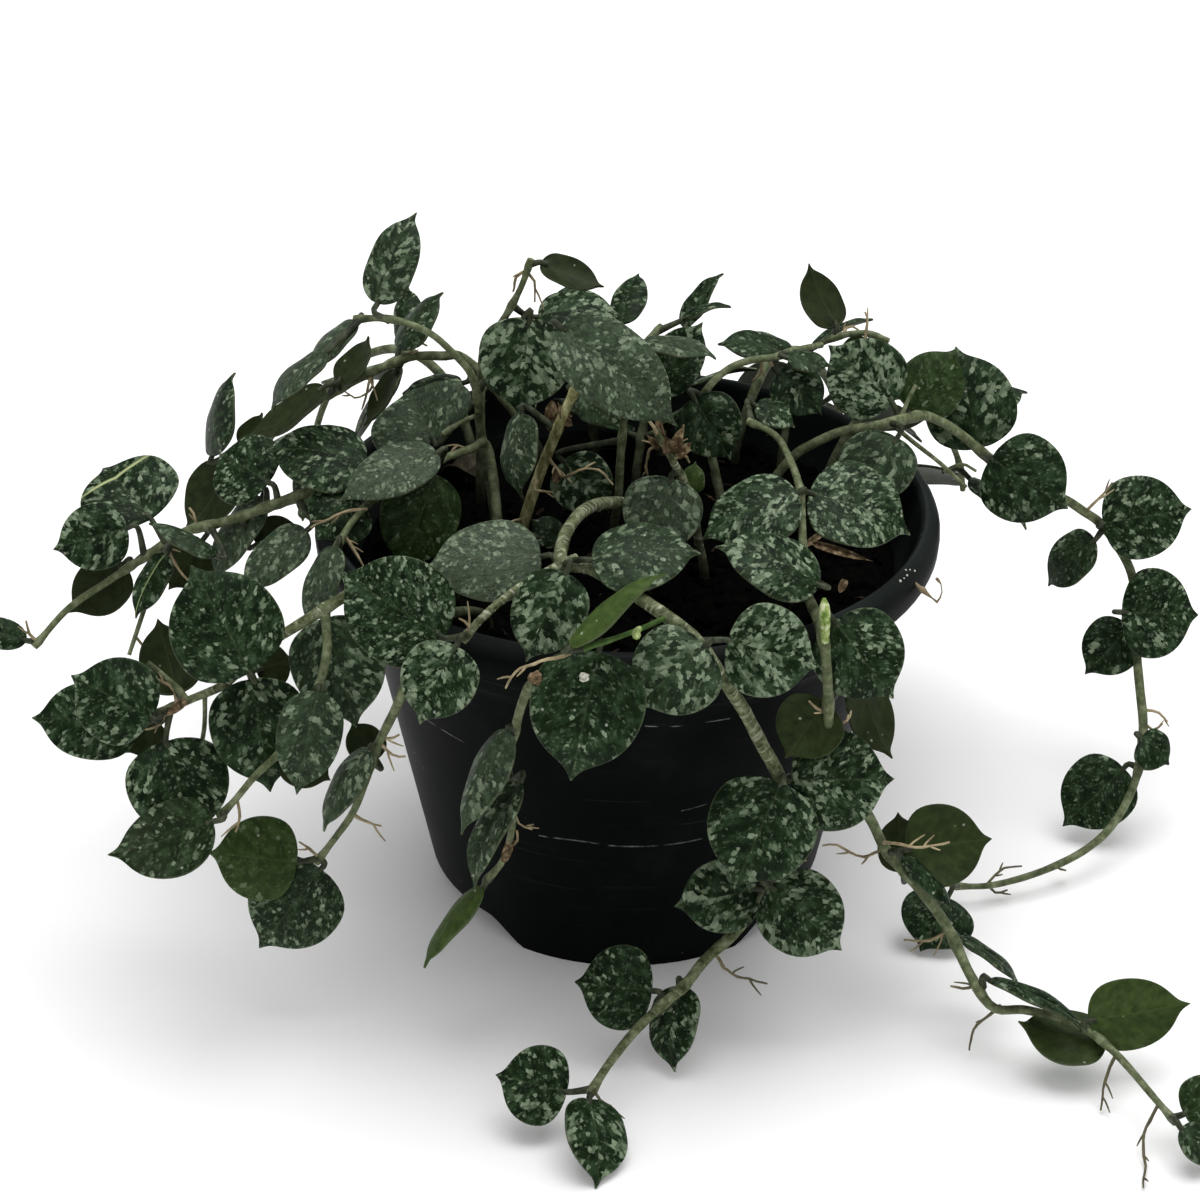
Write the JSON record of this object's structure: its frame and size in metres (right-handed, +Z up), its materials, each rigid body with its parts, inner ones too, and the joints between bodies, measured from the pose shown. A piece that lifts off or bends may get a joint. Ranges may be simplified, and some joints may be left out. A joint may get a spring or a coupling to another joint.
{
  "type": "potted hoya plant",
  "caption": "Trailing hoya with round, fleshy, silver-mottled leaves on arching and hanging stems, in a plain round black nursery pot of soil.",
  "frame": {"origin": "middle of the pot's underside, on the surface that it stands on", "axes": "+Z up along the pot's axis, -Y towards the front of the picture, +X to its right"},
  "size_m": [0.2891, 0.2427, 0.1575],
  "materials": {
    "pot": "satin black plastic, dusty and lightly scratched",
    "potting_mix": "dark, moist peat and bark crumbs",
    "hoya_vine": "waxy dark green leaves with silver mottling, dull grey-green stems",
    "dried_leaf": "dry, brown and curled"
  },
  "bodies": {
    "root": {"pot": "pot", "soil": "potting_mix", "dried_leaf": "dried_leaf", "vine_arch_left": "hoya_vine", "vine_back_left": "hoya_vine", "vine_back_mid": "hoya_vine", "vine_back_mid_left": "hoya_vine", "vine_back_mid_right": "hoya_vine", "vine_back_right": "hoya_vine", "vine_back_right_side": "hoya_vine", "vine_crown_back": "hoya_vine", "vine_dry_roots": "hoya_vine", "vine_far_left": "hoya_vine", "vine_front": "hoya_vine", "vine_left_back": "hoya_vine", "vine_left_front": "hoya_vine", "vine_left_mid": "hoya_vine", "vine_left_outer": "hoya_vine", "vine_old_wood": "hoya_vine", "vine_pot_front": "hoya_vine", "vine_right_front": "hoya_vine", "vine_right_trailer": "hoya_vine", "vine_top": "hoya_vine", "vine_top_right": "hoya_vine", "vine_upright": "hoya_vine"}
  },
  "joints": []
}
